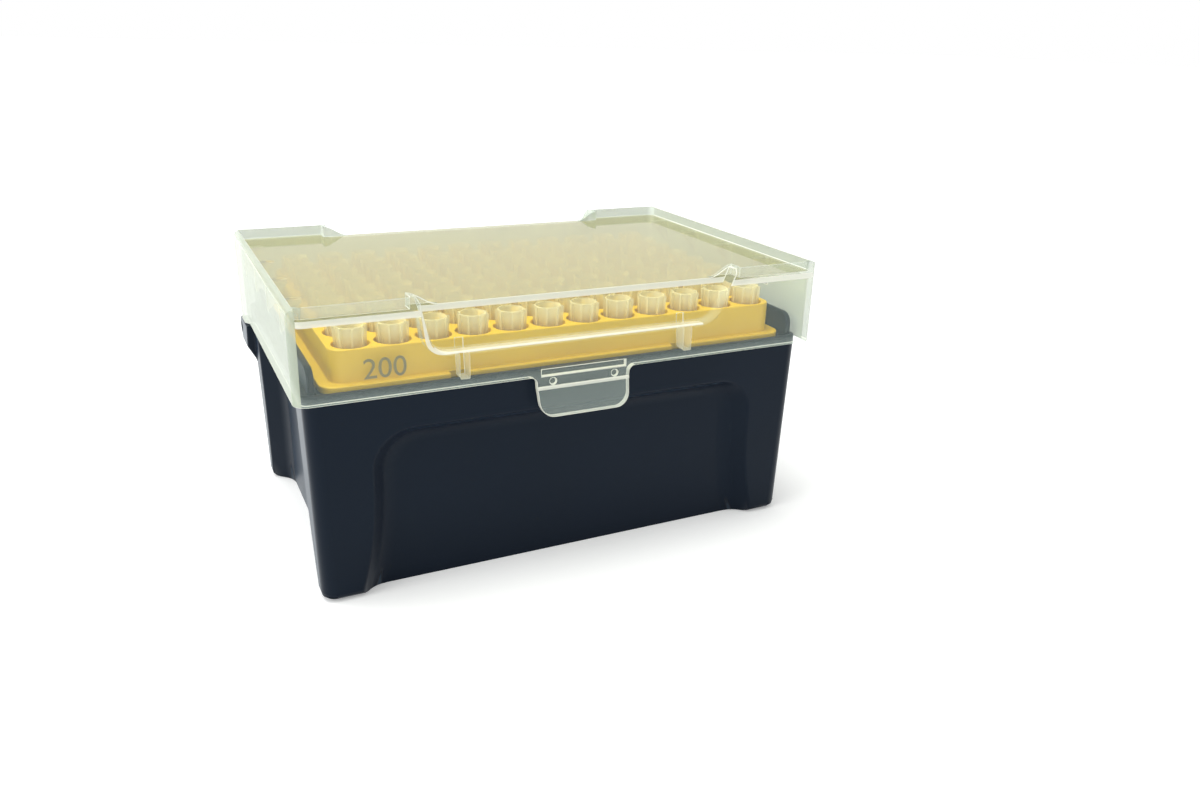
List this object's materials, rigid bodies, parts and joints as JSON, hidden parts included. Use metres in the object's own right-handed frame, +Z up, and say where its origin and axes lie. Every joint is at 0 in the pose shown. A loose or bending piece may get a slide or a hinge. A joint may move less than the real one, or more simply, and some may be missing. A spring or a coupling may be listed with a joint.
{
  "type": "box of pipette tips",
  "caption": "Hinged box of pipette tips: deep dark base with sunken grip panels, yellow drop-in rack full of clear tips, and a frosted lid with scoops and a latch tab.",
  "frame": {"origin": "middle of the underside of the base, on the table", "axes": "+X along the length of the box, +Y towards the hinges, +Z up; the latch tab faces -Y"},
  "size_m": [0.1268, 0.0891, 0.0682],
  "materials": {
    "base_plastic": "satin",
    "lid_plastic": "frosted",
    "rack_plastic": "satin",
    "tip_plastic": "clear"
  },
  "bodies": {
    "base": {"base": "base_plastic", "tip_rack": "rack_plastic", "tips_column_01": "tip_plastic", "tips_column_02": "tip_plastic", "tips_column_03": "tip_plastic", "tips_column_04": "tip_plastic", "tips_column_05": "tip_plastic", "tips_column_06": "tip_plastic", "tips_column_07": "tip_plastic", "tips_column_08": "tip_plastic", "tips_column_09": "tip_plastic", "tips_column_10": "tip_plastic", "tips_column_11": "tip_plastic", "tips_column_12": "tip_plastic"},
    "lid": {"lid": "lid_plastic"}
  },
  "joints": [
    {"name": "lid_hinge", "type": "hinge", "parent": "base", "child": "lid", "pos_m": [0, 0.0424, 0.0415], "axis": [-1, 0, 0], "range_deg": [0, 110]}
  ]
}
